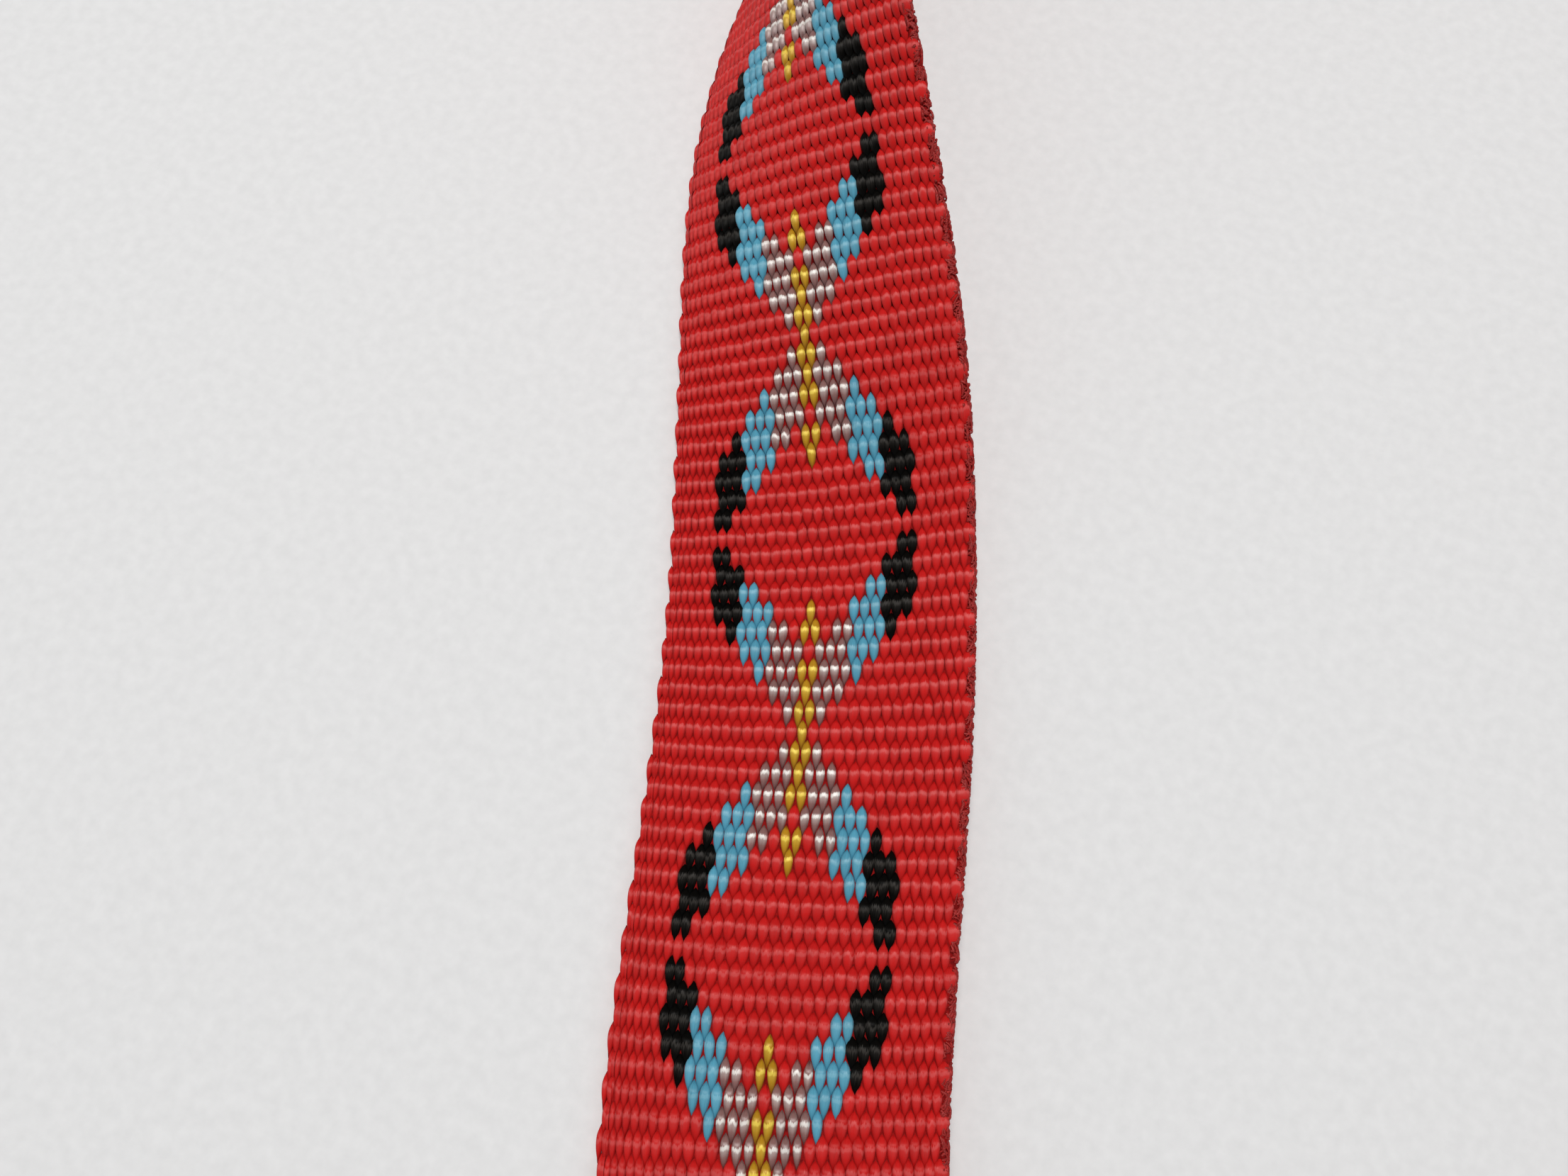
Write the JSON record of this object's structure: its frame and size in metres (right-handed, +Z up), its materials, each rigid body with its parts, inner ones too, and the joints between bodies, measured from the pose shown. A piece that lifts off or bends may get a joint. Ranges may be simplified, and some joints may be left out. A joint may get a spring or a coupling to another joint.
{
  "type": "saxophone neck strap",
  "caption": "Patterned webbing neck loop with a sliding length adjuster and a swivel snap hook, lying on a table.",
  "frame": {"origin": "bottom centre of the whole strap's box, on the surface it lies on", "axes": "+Y from the hook towards the neck bend, +Z up, +X to the right seen from the hook end"},
  "size_m": [0.16, 0.56, 0.025],
  "materials": {
    "webbing": "woven filament polyester, satin",
    "thread": "bonded sewing thread",
    "plated_metal": "nickel plated, lightly worn",
    "steel": "turned steel"
  },
  "bodies": {
    "strap": {"neck_webbing": "webbing", "lower_webbing": "webbing", "join_stitching": "thread"},
    "slider": {"slider_frame": "plated_metal", "slider_bar": "plated_metal", "slider_fold": "webbing", "return_webbing": "webbing", "tail_stitching": "thread"},
    "hook_loop": {"hook_bight": "webbing"},
    "eye": {"swivel_eye": "plated_metal"},
    "hook": {"hook_body": "plated_metal", "swivel_rivet": "steel", "swivel_washer": "steel", "gate_pin": "steel", "gate_spring": "steel"},
    "gate": {"gate": "plated_metal"}
  },
  "joints": [
    {"name": "slider_slide", "type": "slide", "parent": "strap", "child": "slider", "axis": [0, -1, 0], "range_m": [0, 0.05], "deforming": ["return_webbing"]},
    {"name": "hook_shift", "type": "slide", "parent": "strap", "child": "hook_loop", "axis": [0, -1, 0], "range_m": [0, 0.025], "deforming": ["lower_webbing"]},
    {"name": "eye_tilt", "type": "hinge", "parent": "hook_loop", "child": "eye", "pos_m": [0, -0.2208, 0.00575], "axis": [1, 0, 0], "range_deg": [-80, 80]},
    {"name": "hook_swivel", "type": "hinge", "parent": "eye", "child": "hook", "pos_m": [0, -0.2358, 0.00575], "axis": [0, 1, 0], "continuous": true},
    {"name": "gate_open", "type": "hinge", "parent": "hook", "child": "gate", "pos_m": [0.0076, -0.2485, 0.00575], "axis": [0, 0, -1], "range_deg": [0, 28], "stiffness_Nm_per_rad": 0.04, "springref_deg": -17.19}
  ],
  "couplings": [
    {"joint": "hook_shift", "follows": "slider_slide", "ratio": 0.5}
  ]
}
